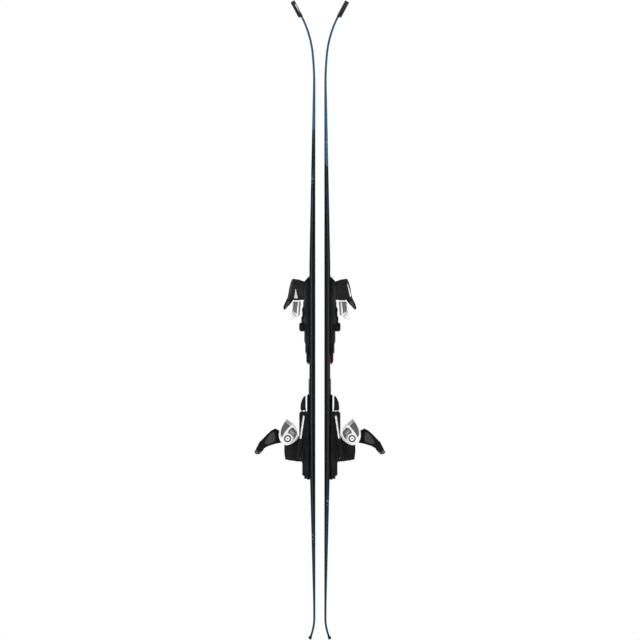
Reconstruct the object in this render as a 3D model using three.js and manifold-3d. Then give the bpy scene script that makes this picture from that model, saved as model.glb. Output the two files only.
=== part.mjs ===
// A pair of alpine skis with release bindings, standing upright base to base, tips up.
// Millimetres, +Z up. The origin is on the floor, midway between the two tails.
// Each ski is built in its own frame: x is the height above its running base, y runs across the ski
// and z runs from the tail (0) to the tip. The second ski is the first one turned half a turn about Z.
import * as THREE from "three";
import { mergeVertices } from "three/addons/utils/BufferGeometryUtils.js";
import Module from "manifold-3d";

const wasm = await Module();
wasm.setup();

// ---- driving dimensions -------------------------------------------------------------------------
const SKI_LENGTH = 1570; // straight height from the tail's end to the tip's end
const BASE_GAP = 22; // between the two running bases
const END_COVER = 1.2; // how far the plastic guards reach past the ski's layers at both ends
const GLUE = 0.2; // glue line between the ski's layers
const GAP = 0.3; // clearance between touching pieces

const TIP_HALF = 59.5; // half the ski's width at the shovel, the waist and the tail
const WAIST_HALF = 36.5;
const TAIL_HALF = 51.5;
const SHOVEL_Z = 1440;
const WAIST_Z = 690;
const TAIL_Z = 70;

const TIP_BEND_Z = 1360; // where the shovel starts to rise, gently at first and then more tightly
const SHOVEL_RADIUS = 800;
const SHOVEL_TURN = THREE.MathUtils.degToRad(5.5);
const TIP_RADIUS = 261;
const TIP_TURN = THREE.MathUtils.degToRad(28);
const TAIL_BEND_Z = 54; // where the tail starts to rise, and then runs on straight to its end
const TAIL_RADIUS = 125;
const TAIL_TURN = THREE.MathUtils.degToRad(18);
const GUARD_LIP = 0.8; // the guards' thickness under the running base
const TAIL_END_Z = GUARD_LIP * Math.sin(TAIL_TURN) + END_COVER * Math.cos(TAIL_TURN);

const TOTAL_THICKNESS = [ // [z, thickness] from tail to tip
  [0, 5],
  [90, 5.5],
  [400, 13.2],
  [600, 14.7],
  [927, 14.7],
  [1385, 5.5],
  [1570, 5],
];
const BASE_SHEET = 1.4;
const TOP_SHEET = 1.1;
const EDGE_WIDTH = 2.2; // how far the steel edge reaches in under the ski
const TOP_INSET = 3; // the cap's bevel, from the sidewall to the top sheet
const DECK = 15; // height of the top sheet's flat middle, where the tracks are screwed down

// Toe piece: the two wings swing out about upright pins.
const TOE_PIN = { y: 21, z: 846 };
const TOE_PIN_RADIUS = 2.5;
const WING_HUB_RADIUS = 5.5;
const TOE_SPRING_HEIGHT = 44;
const SOLE_HEIGHT = 39.6; // the boot sole rests here, on the anti-friction plate and the heel pad
const TOE_HALF = 31;

// Heel piece: jaw and lever turn on one cross pin.
const HEEL_PIN = { x: 68.1, z: 493.7 };
const HEEL_PIN_RADIUS = 3;
const HEEL_SPRING_HEIGHT = 57.5;
const JAW_OUTER = 36;
const JAW_INNER = 31;
const HOUSING_HALF = 29.5;
const LEVER_ROOT_HALF = 14.7;
const CARRIAGE_HALF = 31;

// Brake: one bent steel wire that turns in the carriage.
const BRAKE_AXLE = { x: 28.5, z: 548 };
const BRAKE_WIRE_RADIUS = 2.4;
const BRAKE_ARM_Y = 42;
const BRAKE_CRANK_Y = 20;
const BRAKE_RISE = THREE.MathUtils.degToRad(8.3); // stowed arms rise towards the tail
const BRAKE_ARM_LENGTH = 111; // from the axle to the end of the shoe
const BRAKE_SHOE_LENGTH = 56;

// ---- materials ----------------------------------------------------------------------------------
const finish = (color, roughness, metalness = 0) =>
  new THREE.MeshStandardMaterial({ color, roughness, metalness });
const looks = {
  topSheet: finish(0x1f5a7a, 0.35),
  core: finish(0x14191f, 0.5),
  base: finish(0x0b0c0e, 0.4),
  steel: finish(0xb9bdc2, 0.35, 1),
  blackPlastic: finish(0x1b1c1e, 0.55),
  whitePlastic: finish(0xdedfe0, 0.45),
  greyPlastic: finish(0x6a6c6f, 0.5),
};

// ---- solids -------------------------------------------------------------------------------------
function toSolid(geometry) {
  const bare = new THREE.BufferGeometry();
  bare.setAttribute("position", geometry.getAttribute("position"));
  if (geometry.index) bare.setIndex(geometry.index);
  const merged = mergeVertices(bare, 1e-4);
  return new wasm.Manifold(
    new wasm.Mesh({
      numProp: 3,
      vertProperties: new Float32Array(merged.attributes.position.array),
      triVerts: new Uint32Array(merged.index.array),
    }),
  );
}

function toGeometry(solid) {
  const mesh = solid.getMesh();
  const geometry = new THREE.BufferGeometry();
  geometry.setAttribute("position", new THREE.BufferAttribute(mesh.vertProperties, 3));
  geometry.setIndex(new THREE.BufferAttribute(mesh.triVerts, 1));
  return geometry;
}

const join = (first, ...rest) =>
  toGeometry(rest.reduce((solid, next) => solid.add(toSolid(next)), toSolid(first)));
const cut = (first, ...rest) =>
  toGeometry(rest.reduce((solid, next) => solid.subtract(toSolid(next)), toSolid(first)));
const common = (first, second) => toGeometry(toSolid(first).intersect(toSolid(second)));

function shapeOf(points) {
  return points instanceof THREE.Shape
    ? points
    : new THREE.Shape(points.map(([a, b]) => new THREE.Vector2(a, b)));
}

// A side outline of [height, z] points, carried across the ski from y0 to y1.
function acrossSki(outline, y0, y1) {
  const solid = new THREE.ExtrudeGeometry(shapeOf(outline), {
    depth: y1 - y0,
    bevelEnabled: false,
    curveSegments: 5,
  });
  return solid.rotateX(Math.PI / 2).translate(0, y1, 0);
}

// A plan outline of [y, z] points, carried up from height x0 to x1.
function throughSki(outline, x0, x1, curveSegments = 6) {
  const solid = new THREE.ExtrudeGeometry(shapeOf(outline), {
    depth: x1 - x0,
    bevelEnabled: false,
    curveSegments,
  });
  const heightFirst = new THREE.Matrix4().set(0, 0, 1, x0, 1, 0, 0, 0, 0, 1, 0, 0, 0, 0, 0, 1);
  return solid.applyMatrix4(heightFirst);
}

// A cross-section outline of [height, y] points, carried along the ski from z0 to z1.
function alongSki(outline, z0, z1) {
  const solid = new THREE.ExtrudeGeometry(shapeOf(outline), {
    depth: z1 - z0,
    bevelEnabled: false,
    curveSegments: 6,
  });
  return solid.translate(0, 0, z0);
}

// A block between two opposite corners [x, y, z].
function block(low, high) {
  const size = high.map((value, i) => value - low[i]);
  const middle = high.map((value, i) => (value + low[i]) / 2);
  return new THREE.BoxGeometry(...size).translate(...middle);
}

// A round bar between two points [x, y, z].
function bar(from, to, radius, sides = 12) {
  const start = new THREE.Vector3(...from);
  const end = new THREE.Vector3(...to);
  const along = end.clone().sub(start);
  const turn = new THREE.Quaternion().setFromUnitVectors(
    new THREE.Vector3(0, 1, 0),
    along.clone().normalize(),
  );
  const middle = start.add(end).multiplyScalar(0.5);
  return new THREE.CylinderGeometry(radius, radius, along.length(), sides)
    .applyQuaternion(turn)
    .translate(middle.x, middle.y, middle.z);
}

const barAcross = (x, z, y0, y1, radius, sides) => bar([x, y0, z], [x, y1, z], radius, sides);

// A lathe profile of [radius, distance] points turned about the z direction through (x, y).
function turned(profile, x, y, sides = 20) {
  const points = profile.map(([radius, along]) => new THREE.Vector2(radius, along));
  return new THREE.LatheGeometry(points, sides).rotateX(Math.PI / 2).translate(x, y, 0);
}

// A coil spring along z.
function coil(x, y, z0, z1, radius, wire, turns) {
  class Helix extends THREE.Curve {
    getPoint(t, target = new THREE.Vector3()) {
      const angle = t * turns * 2 * Math.PI;
      return target.set(x + radius * Math.cos(angle), y + radius * Math.sin(angle), z0 + (z1 - z0) * t);
    }
  }
  const section = new THREE.Shape();
  section.absarc(0, 0, wire, 0, 2 * Math.PI);
  return new THREE.ExtrudeGeometry(section, {
    steps: turns * 10,
    curveSegments: 3,
    extrudePath: new Helix(),
  });
}

// ---- the ski's line -----------------------------------------------------------------------------
function thicknessAt(z) {
  const last = TOTAL_THICKNESS.findIndex(([at]) => at >= z);
  if (last <= 0) return TOTAL_THICKNESS[0][1];
  const [z0, t0] = TOTAL_THICKNESS[last - 1];
  const [z1, t1] = TOTAL_THICKNESS[last];
  return t0 + ((t1 - t0) * (z - z0)) / (z1 - z0);
}

// Points along the running base from tail to tip, each with the direction that "up" has there.
function baseLine() {
  const line = [];
  const bends = 6;
  const tailRise = TAIL_RADIUS * (1 - Math.cos(TAIL_TURN));
  const tailRun = TAIL_BEND_Z - TAIL_RADIUS * Math.sin(TAIL_TURN) - TAIL_END_Z;
  line.push({
    x: tailRise + tailRun * Math.tan(TAIL_TURN),
    z: TAIL_END_Z,
    up: [Math.cos(TAIL_TURN), Math.sin(TAIL_TURN)],
  });
  for (let i = bends; i > 0; i--) {
    const a = (TAIL_TURN * i) / bends;
    const x = TAIL_RADIUS * (1 - Math.cos(a));
    line.push({ x, z: TAIL_BEND_Z - TAIL_RADIUS * Math.sin(a), up: [Math.cos(a), Math.sin(a)] });
  }
  for (const z of [TAIL_BEND_Z, 90, 240, 400, 600, 927, 1080, 1240, TIP_BEND_Z])
    line.push({ x: 0, z, up: [1, 0] });
  for (const [radius, from, to] of [
    [SHOVEL_RADIUS, 0, SHOVEL_TURN],
    [TIP_RADIUS, SHOVEL_TURN, TIP_TURN],
  ]) {
    const { x, z } = line.at(-1);
    for (let i = 1; i <= bends; i++) {
      const a = from + ((to - from) * i) / bends;
      line.push({
        x: x + radius * (Math.cos(from) - Math.cos(a)),
        z: z + radius * (Math.sin(a) - Math.sin(from)),
        up: [Math.cos(a), -Math.sin(a)],
      });
    }
  }
  const end = line.at(-1);
  const z = SKI_LENGTH - END_COVER;
  line.push({ x: end.x + (z - end.z) * Math.tan(TIP_TURN), z, up: end.up });
  return line;
}

const lifted = ({ x, z, up }, height) => [x + up[0] * height, z + up[1] * height];

// The same, moved a distance along the ski towards the tip.
function liftedPast(at, height, past) {
  const [x, z] = lifted(at, height);
  return [x - at.up[1] * past, z + at.up[0] * past];
}

// The side outline of one layer, between two heights that may follow the ski's thickness.
function layerOutline(lower, upper) {
  const line = baseLine();
  const below = line.map((at) => lifted(at, lower(thicknessAt(at.z))));
  const above = line.map((at) => lifted(at, upper(thicknessAt(at.z))));
  return [...below, ...above.reverse()];
}

// The ski seen from above, its edges moved in by inset.
function planOutline(inset) {
  const tip = SKI_LENGTH - END_COVER - inset;
  const end = END_COVER + inset;
  const shape = new THREE.Shape();
  const waist = WAIST_HALF - inset;
  const shovel = TIP_HALF - inset;
  const tail = TAIL_HALF - inset;
  shape.moveTo(0, end);
  shape.bezierCurveTo(34, end, tail, 25, tail, TAIL_Z);
  shape.quadraticCurveTo(waist, (TAIL_Z + WAIST_Z) / 2, waist, WAIST_Z);
  shape.quadraticCurveTo(waist, (WAIST_Z + SHOVEL_Z) / 2, shovel, SHOVEL_Z);
  shape.bezierCurveTo(shovel + 2.5, 1490, 38, tip, 0, tip);
  shape.bezierCurveTo(-38, tip, -shovel - 2.5, 1490, -shovel, SHOVEL_Z);
  shape.quadraticCurveTo(-waist, (WAIST_Z + SHOVEL_Z) / 2, -waist, WAIST_Z);
  shape.quadraticCurveTo(-waist, (TAIL_Z + WAIST_Z) / 2, -tail, TAIL_Z);
  shape.bezierCurveTo(-tail, 25, -34, end, 0, end);
  return shape;
}

const layer = (lower, upper, inset) =>
  common(acrossSki(layerOutline(lower, upper), -80, 80), throughSki(planOutline(inset), -20, 90));

// ---- ski ----------------------------------------------------------------------------------------
const GUARD_ARM_Z = 1527; // the tip guard's two arms end here, and its middle ends higher
const GUARD_REACH = 43; // the guard's length along the ski

function runningBase() {
  return layer(() => 0, () => BASE_SHEET, EDGE_WIDTH + GLUE);
}

function steelEdge(side) {
  const rim = layer(() => 0, () => BASE_SHEET, 0);
  const from = side > 0 ? -90 : -0.15;
  const otherSide = block([-20, from, -10], [90, from + 90.15, 1600]);
  return cut(rim, throughSki(planOutline(EDGE_WIDTH), -20, 90), otherSide);
}

function skiCore() {
  return layer(() => BASE_SHEET + GLUE, (t) => t - TOP_SHEET - GLUE, 0.4);
}

function topSheet() {
  return layer((t) => t - TOP_SHEET, (t) => t, TOP_INSET);
}

// The whole ski's envelope, with clearance, used to hollow the guards that slip over its ends.
const skiEnvelope = () => layer(() => -GAP, (t) => t + GAP, -GAP);

function tipGuard() {
  const end = baseLine().at(-1);
  const high = 10.6;
  const slab = acrossSki(
    [
      [-GUARD_LIP, 0.8 - GUARD_REACH], [-GUARD_LIP, END_COVER], [high - 2.4, END_COVER],
      [high - 0.7, END_COVER - 0.7], [high, END_COVER - 2.4], [high, 4 - GUARD_REACH],
      [high - 1.2, 1.2 - GUARD_REACH], [high - 4, -GUARD_REACH], [0, -GUARD_REACH],
    ].map(([height, along]) => liftedPast(end, height, along)),
    -62,
    62,
  );
  const rounded = common(slab, throughSki(planOutline(-1.2), -20, 90));
  const crescent = new THREE.Shape();
  crescent.moveTo(-70, 1480);
  crescent.lineTo(-42, GUARD_ARM_Z);
  crescent.quadraticCurveTo(0, 1562, 42, GUARD_ARM_Z);
  crescent.lineTo(70, 1480);
  return cut(rounded, throughSki(crescent, -20, 90), skiEnvelope());
}

// A cap that wraps round the tail's end.
function tailGuard() {
  const end = baseLine()[0];
  const side = acrossSki(
    [
      [-GUARD_LIP, -END_COVER], [-GUARD_LIP, 5.5], [0.6, 8.5], [4.5, 8.5], [7.2, 4.5], [7.2, 1],
      [5, -END_COVER],
    ].map(([height, along]) => liftedPast(end, height, along)),
    -50,
    50,
  );
  return cut(common(side, throughSki(planOutline(-1.2), -20, 90)), skiEnvelope());
}

// ---- toe piece ----------------------------------------------------------------------------------
const AFD = { z0: 757, z1: 778, neck0: 764.5, neck1: 770.5, foot0: 761, foot1: 774 };

function toeBase() {
  const side = acrossSki(
    [
      [DECK, 893.5], [27, 880], [27, 834], [30, 830], [30, 819], [33, 812], [33, 808], [32.3, 804],
      [32.3, 796], [34.7, 791], [34.7, AFD.z1 + GAP], [27.3, AFD.z1 + GAP], [27.3, 733], [25, 726],
      [25, 706], [22.4, 702], [22.4, 684], [19, 677], [DECK, 677],
    ],
    -TOE_HALF,
    TOE_HALF,
  );
  const half = [
    [16, 893.5], [26, 886], [TOE_HALF, 870], [TOE_HALF, 730], [27, 712], [24, 700], [20, 677],
  ];
  const plan = [...half, ...half.map(([y, z]) => [-y, z]).reverse()];
  const slot = join(
    block([24, -40, AFD.neck0 - GAP], [30, 40, AFD.neck1 + GAP]),
    block([20.7, -40, AFD.foot0 - GAP], [24.5, 40, AFD.foot1 + GAP]),
  );
  return cut(common(side, throughSki(plan, 0, 60)), slot);
}

function afdPlate() {
  const half = [
    [27.6, AFD.z0], [36.5, AFD.z0], [SOLE_HEIGHT, AFD.z0 + 4], [SOLE_HEIGHT, AFD.z1 - 2], [38, AFD.z1],
    [27.6, AFD.z1], [27.6, AFD.neck1], [24.2, AFD.neck1], [24.2, AFD.foot1], [21, AFD.foot1],
    [21, AFD.foot0], [24.2, AFD.foot0], [24.2, AFD.neck0], [27.6, AFD.neck0],
  ];
  return acrossSki(half, -29, 29);
}

const toeChamber = () =>
  join(
    block([38, -25, 850], [50, 25, 859]),
    bar([TOE_SPRING_HEIGHT, 0, 853], [TOE_SPRING_HEIGHT, 0, 880.9], 9, 20),
    bar([TOE_SPRING_HEIGHT, 0, 880], [TOE_SPRING_HEIGHT, 0, 890], 6.3, 20),
  );

function toeHousing() {
  const side = acrossSki(
    [
      [27.3, 880], [42, 884.6], [55.8, 886.7], [60.5, 878], [64.2, 862.9], [66.6, 848.2], [69.1, 838.4],
      [73, 831], [76.4, 823.7], [79.4, 813.8], [75.2, 809.7], [66.6, 818.8], [61.7, 823.7],
      [57.5, 829], [54.4, 834], [27.3, 834],
    ],
    -TOE_HALF,
    TOE_HALF,
  );
  const half = [
    [21, 888], [28, 880], [TOE_HALF, 866], [TOE_HALF, 834], [27, 833.9], [25, 822], [19, 808],
  ];
  const plan = [...half, ...half.map(([y, z]) => [-y, z]).reverse()];
  const pockets = [1, -1].map((side) =>
    block(
      [36, side > 0 ? 14.7 : -40, 830],
      [52, side > 0 ? 40 : -14.7, 853],
    ),
  );
  const pinBores = [1, -1].map((side) =>
    bar([20, side * TOE_PIN.y, TOE_PIN.z], [57, side * TOE_PIN.y, TOE_PIN.z], TOE_PIN_RADIUS + GAP, 16),
  );
  return cut(common(side, throughSki(plan, 0, 90)), ...pockets, toeChamber(), ...pinBores);
}

function toeWing(side) {
  const body = [
    [20, 830], [23, 827.5], [26, 825.4], [30, 821.8], [33, 818.3], [35.3, 815], [35.3, 792], [36.5, 785],
    [42, 784.4], [43.5, 790], [44, 806], [42, 818], [37, 826], [32, 830],
  ].map(([y, z]) => [side * y, z]);
  const upright = acrossSki(
    [
      [34.7, 830.5], [37.2, 794.2], [44.5, 788], [62.5, 784.4], [60.5, 792], [58, 806], [56, 830.5],
    ],
    -50,
    50,
  );
  const armOutline = [[15.5, 846], [20, 829.5], [31.5, 829.5], [31, 837], [26.5, 846]];
  const arm = armOutline.map(([y, z]) => [side * y, z]);
  const hub = bar(
    [36.4, side * TOE_PIN.y, TOE_PIN.z],
    [51.6, side * TOE_PIN.y, TOE_PIN.z],
    WING_HUB_RADIUS,
    24,
  );
  const flat = block([30, Math.min(0, side * 40), TOE_PIN.z + 4.3], [60, Math.max(0, side * 40), 860]);
  const pinY = side * TOE_PIN.y;
  const bore = bar([30, pinY, TOE_PIN.z], [60, pinY, TOE_PIN.z], TOE_PIN_RADIUS + GAP, 16);
  const whole = join(common(throughSki(body, 30, 70), upright), throughSki(arm, 36.4, 51.6), hub);
  return cut(whole, flat, bore);
}

const toePin = (side) =>
  bar([30, side * TOE_PIN.y, TOE_PIN.z], [56.5, side * TOE_PIN.y, TOE_PIN.z], TOE_PIN_RADIUS, 16);

function toePlunger() {
  return join(
    block([38.5, -24, TOE_PIN.z + 5.8], [49.5, 24, 855]),
    bar([TOE_SPRING_HEIGHT, 0, 854], [TOE_SPRING_HEIGHT, 0, 872], 4, 16),
  );
}

const toeSpring = () => coil(TOE_SPRING_HEIGHT, 0, 857.2, 876.3, 6.6, 1.4, 4);

function toeReleaseScrew() {
  const body = turned(
    [[0, 878.4], [8.3, 878.4], [8.3, 880.4], [5.9, 880.6], [5.9, 884.6], [0, 884.6]],
    TOE_SPRING_HEIGHT,
    0,
  );
  return cut(body, block([43, -8, 882.8], [45, 8, 890]));
}

// ---- heel piece ---------------------------------------------------------------------------------
const RAIL_TOP = 20.4;

// The rail that the carriage slides on, with a foot that fills the taper of the ski under it.
function heelRail() {
  const half = [[DECK, 16], [17.6, 16], [17.6, 24], [RAIL_TOP, 24]];
  const rail = alongSki([...half, ...half.map(([x, y]) => [x, -y]).reverse()], 393, 604);
  const nose = acrossSki([[DECK - 1, 390], [21, 390], [21, 600], [DECK, 604.5], [DECK - 1, 604.5]], -40, 40);
  const foot = acrossSki(
    [[thicknessAt(393) + GAP, 393], [15.2, 393], [15.2, 604], [16.6, 605], [16.6, 640], [DECK, 642]],
    -24,
    24,
  );
  return join(common(rail, nose), foot);
}

function carriage() {
  const half = [
    [40, 0], [40, 28], [37, CARRIAGE_HALF], [15.5, CARRIAGE_HALF], [15.5, 16.4], [17.2, 16.4],
    [17.2, 24.4], [RAIL_TOP + 0.4, 24.4], [RAIL_TOP + 0.4, 0],
  ];
  const section = alongSki([...half, ...half.slice(1, -1).map(([x, y]) => [x, -y]).reverse()], 395, 560);
  const side = acrossSki(
    [
      [15, 395], [27.3, 395], [27.3, 401.5], [32.3, 404], [32.3, 434], [34.7, 437], [34.7, 480.2],
      [SOLE_HEIGHT, 480.2], [SOLE_HEIGHT, 556], [36, 560], [15, 560],
    ],
    -40,
    40,
  );
  const crankSlots = [1, -1].map((side) =>
    block(
      [24.8, Math.min(side * 16.8, side * 23.2), 544.6],
      [45, Math.max(side * 16.8, side * 23.2), 565],
    ),
  );
  const axleBores = [1, -1].map((side) =>
    barAcross(BRAKE_AXLE.x, BRAKE_AXLE.z, side > 0 ? 20 : -40, side > 0 ? 40 : -20, 2.8, 16),
  );
  return cut(common(section, side), ...crankSlots, ...axleBores);
}

// Points on a circle about the heel's cross pin, from one angle to another in degrees.
function aroundHeelPin(radius, from, to, steps = 8) {
  return Array.from({ length: steps + 1 }, (_, i) => {
    const a = THREE.MathUtils.degToRad(from + ((to - from) * i) / steps);
    return [HEEL_PIN.x + radius * Math.sin(a), HEEL_PIN.z + radius * Math.cos(a)];
  });
}

function heelHousing() {
  const body = acrossSki(
    [
      [35, 437.5], [44.5, 437.5], [74, 442.4], [76.4, 460], [76.4, 476], [75, 484],
      ...aroundHeelPin(10.5, 130, -30), [40, 500], [39.9, 479.9], [35, 479.9],
    ],
    -HOUSING_HALF,
    HOUSING_HALF,
  );
  const front = block([30, -LEVER_ROOT_HALF - 0.6, 480], [90, LEVER_ROOT_HALF + 0.6, 520]);
  const leverSweep = common(
    barAcross(HEEL_PIN.x, HEEL_PIN.z, -LEVER_ROOT_HALF - 0.6, LEVER_ROOT_HALF + 0.6, 37, 40),
    block([67, -30, 400], [120, 30, 520]),
  );
  const chamber = join(
    bar([HEEL_SPRING_HEIGHT, 0, 444], [HEEL_SPRING_HEIGHT, 0, 485], 9.6, 20),
    bar([HEEL_SPRING_HEIGHT, 0, 430], [HEEL_SPRING_HEIGHT, 0, 446], 7.3, 20),
  );
  const pinBore = barAcross(HEEL_PIN.x, HEEL_PIN.z, -40, 40, HEEL_PIN_RADIUS + GAP, 16);
  return cut(body, front, leverSweep, chamber, pinBore);
}

const heelPin = () => barAcross(HEEL_PIN.x, HEEL_PIN.z, -37, 37, HEEL_PIN_RADIUS, 16);

function heelJaw() {
  const leaf = [
    [70.3, 546], [74, 539], [79, 529], [84, 519], [89.7, 507], [88.5, 496], [83, 485], [75, 479],
    [66.6, 478], [55, 483], [46, 490], [42, 497], [42, 505], [49, 519], [51, 524], [56, 529], [64, 539],
  ];
  const cheeks = [acrossSki(leaf, JAW_INNER, JAW_OUTER), acrossSki(leaf, -JAW_OUTER, -JAW_INNER)];
  const back = acrossSki(
    [
      [70.5, 517.5], [70.5, 545], [74, 539], [79, 529], [84, 519], [87, 510], [86.5, 505.5], [42, 505.5],
      [43, 509], [49, 519], [50.5, 523], [53, 517.5],
    ],
    -JAW_INNER - 1,
    JAW_INNER + 1,
  );
  const heelCup = new THREE.Shape();
  heelCup.absellipse(0, 552, 30, 26, 0, 2 * Math.PI);
  const pinBore = barAcross(HEEL_PIN.x, HEEL_PIN.z, -40, 40, HEEL_PIN_RADIUS + GAP, 16);
  return cut(join(cut(back, throughSki(heelCup, 54, 95)), ...cheeks), pinBore);
}

function heelLever() {
  const root = acrossSki(
    [
      [76.4, 485], [101, 480.5], [101, 505], [88.7, 504], [86.3, 499.6], [80, 497], [70, 495],
      [66, 490],
    ],
    -LEVER_ROOT_HALF,
    LEVER_ROOT_HALF,
  );
  const hub = barAcross(HEEL_PIN.x, HEEL_PIN.z, -LEVER_ROOT_HALF, LEVER_ROOT_HALF, 10, 28);
  const handle = acrossSki(
    [
      [97.5, 481], [115.4, 475.5], [125.3, 470], [128, 465], [132.6, 460], [137.4, 455], [145.4, 455.5],
      [150.1, 460], [147.6, 465], [142.7, 475], [137.8, 485], [128, 494.7], [118.6, 504.5], [108, 514],
      [98.6, 519], [88.7, 514], [88.7, 504], [92, 494],
    ],
    -27,
    27,
  );
  const half = [[13, 440], [19, 455], [24, 475], [27, 500], [25, 522]];
  const plan = [...half, ...half.map(([y, z]) => [-y, z]).reverse()];
  const camFlat = block([40, -30, 470], [HEEL_PIN.x + 6.5, 30, HEEL_PIN.z - 7.5]);
  const pinBore = barAcross(HEEL_PIN.x, HEEL_PIN.z, -40, 40, HEEL_PIN_RADIUS + GAP, 16);
  return cut(join(root, cut(hub, camFlat), common(handle, throughSki(plan, 60, 170))), pinBore);
}

function heelPlunger() {
  const tip = HEEL_PIN.z - 8;
  return turned(
    [[0, 458], [4.5, 458], [4.5, 474], [8.8, 474], [8.8, tip], [0, tip]],
    HEEL_SPRING_HEIGHT,
    0,
  );
}

const heelSpring = () => coil(HEEL_SPRING_HEIGHT, 0, 451.6, 471.9, 6.7, 1.5, 4);

function heelReleaseScrew() {
  const body = turned(
    [[0, 439.5], [6.9, 439.5], [6.9, 445.6], [9.2, 446], [9.2, 449.2], [0, 449.2]],
    HEEL_SPRING_HEIGHT,
    0,
  );
  return cut(body, block([HEEL_SPRING_HEIGHT - 1, -9, 430], [HEEL_SPRING_HEIGHT + 1, 9, 441.5]));
}

// ---- brake --------------------------------------------------------------------------------------
// A point on the stowed brake arm, a given distance from the axle.
const onBrakeArm = (distance, y, lift = 0) => [
  BRAKE_AXLE.x + distance * Math.sin(BRAKE_RISE) + lift * Math.cos(BRAKE_RISE),
  y,
  BRAKE_AXLE.z - distance * Math.cos(BRAKE_RISE) + lift * Math.sin(BRAKE_RISE),
];

const PEDAL_BAR = { x: 28, z: 585 };

// The bent wire of the given radius: arm, axle, crank and pedal bar, with round corners.
function brakeWire(radius) {
  const corners = [1, -1].map((side) => [
    onBrakeArm(BRAKE_ARM_LENGTH - 12, side * BRAKE_ARM_Y),
    [BRAKE_AXLE.x, side * BRAKE_ARM_Y, BRAKE_AXLE.z],
    [BRAKE_AXLE.x, side * BRAKE_CRANK_Y, BRAKE_AXLE.z],
    [PEDAL_BAR.x, side * BRAKE_CRANK_Y, PEDAL_BAR.z],
  ]);
  const path = [...corners[0], ...corners[1].reverse()];
  const bars = path.slice(1).map((point, i) => bar(path[i], point, radius, 10));
  const knuckles = path
    .slice(1, -1)
    .map((point) => new THREE.SphereGeometry(radius, 10, 6).translate(...point));
  return join(...bars, ...knuckles);
}

function brakePedal() {
  const side = acrossSki(
    [
      [23.9, 571], [23.9, 598.5], [25.5, 599.5], [29, 596.5], [32, 591], [34.5, 585], [36.2, 578.7],
      [36.9, 568], [36, 562.8], [23, 562.8], [23, 569],
    ],
    -27,
    27,
  );
  const wireSlots = join(
    ...[1, -1].map((side) =>
      block([25.3, side * BRAKE_CRANK_Y - 3, 560], [31.2, side * BRAKE_CRANK_Y + 3, PEDAL_BAR.z + 2.8]),
    ),
    block([25.3, -BRAKE_CRANK_Y, PEDAL_BAR.z - 2.8], [31.2, BRAKE_CRANK_Y, PEDAL_BAR.z + 2.8]),
  );
  return cut(side, wireSlots);
}

function brakeShoe(side) {
  const start = BRAKE_ARM_LENGTH - BRAKE_SHOE_LENGTH;
  const [y0, y1] = side > 0 ? [39.2, 47.6] : [-47.6, -39.2];
  const profile = [
    [start, -3.2], [start, 3.6], [start + 6, 4.4], [BRAKE_ARM_LENGTH - 6, 4.4], [BRAKE_ARM_LENGTH, 1.5],
    [BRAKE_ARM_LENGTH, -2], [BRAKE_ARM_LENGTH - 8, -5.2], [start + 14, -4.4],
  ].map(([along, lift]) => {
    const [x, , z] = onBrakeArm(along, 0, lift);
    return [x, z];
  });
  const bore = bar(
    onBrakeArm(start - 5, side * BRAKE_ARM_Y),
    onBrakeArm(BRAKE_ARM_LENGTH - 11.5, side * BRAKE_ARM_Y),
    BRAKE_WIRE_RADIUS + GAP,
    12,
  );
  return cut(acrossSki(profile, y0, y1), bore);
}

// ---- one ski with its bindings ------------------------------------------------------------------
function oneSki(prefix) {
  const group = new THREE.Group();
  const add = (name, geometry, material) => {
    const mesh = new THREE.Mesh(geometry, material.clone());
    mesh.name = prefix + name;
    group.add(mesh);
  };
  add("running_base", runningBase(), looks.base);
  add("steel_edge_right", steelEdge(1), looks.steel);
  add("steel_edge_left", steelEdge(-1), looks.steel);
  add("ski_core", skiCore(), looks.core);
  add("top_sheet", topSheet(), looks.topSheet);
  add("tip_guard", tipGuard(), looks.blackPlastic);
  add("tail_guard", tailGuard(), looks.blackPlastic);

  add("toe_base", toeBase(), looks.blackPlastic);
  add("afd_plate", afdPlate(), looks.greyPlastic);
  add("toe_housing", toeHousing(), looks.blackPlastic);
  add("toe_wing_right", toeWing(1), looks.whitePlastic);
  add("toe_wing_left", toeWing(-1), looks.whitePlastic);
  add("toe_pin_right", toePin(1), looks.steel);
  add("toe_pin_left", toePin(-1), looks.steel);
  add("toe_plunger", toePlunger(), looks.greyPlastic);
  add("toe_spring", toeSpring(), looks.steel);
  add("toe_release_screw", toeReleaseScrew(), looks.steel);

  add("heel_rail", heelRail(), looks.blackPlastic);
  add("heel_carriage", carriage(), looks.blackPlastic);
  add("heel_housing", heelHousing(), looks.blackPlastic);
  add("heel_pin", heelPin(), looks.steel);
  add("heel_jaw", heelJaw(), looks.whitePlastic);
  add("heel_lever", heelLever(), looks.greyPlastic);
  add("heel_plunger", heelPlunger(), looks.greyPlastic);
  add("heel_spring", heelSpring(), looks.steel);
  add("heel_release_screw", heelReleaseScrew(), looks.steel);

  add("brake_wire", brakeWire(BRAKE_WIRE_RADIUS), looks.steel);
  add("brake_pedal", brakePedal(), looks.blackPlastic);
  add("brake_shoe_right", brakeShoe(1), looks.blackPlastic);
  add("brake_shoe_left", brakeShoe(-1), looks.blackPlastic);
  return group;
}

const pair = new THREE.Group();
const first = oneSki("ski1_");
first.rotation.z = Math.PI;
first.position.x = -BASE_GAP / 2;
const second = oneSki("ski2_");
second.position.x = BASE_GAP / 2;
pair.add(first, second);
export default pair;
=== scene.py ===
import math

import bmesh
import bpy
from mathutils import Matrix, Vector


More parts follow.
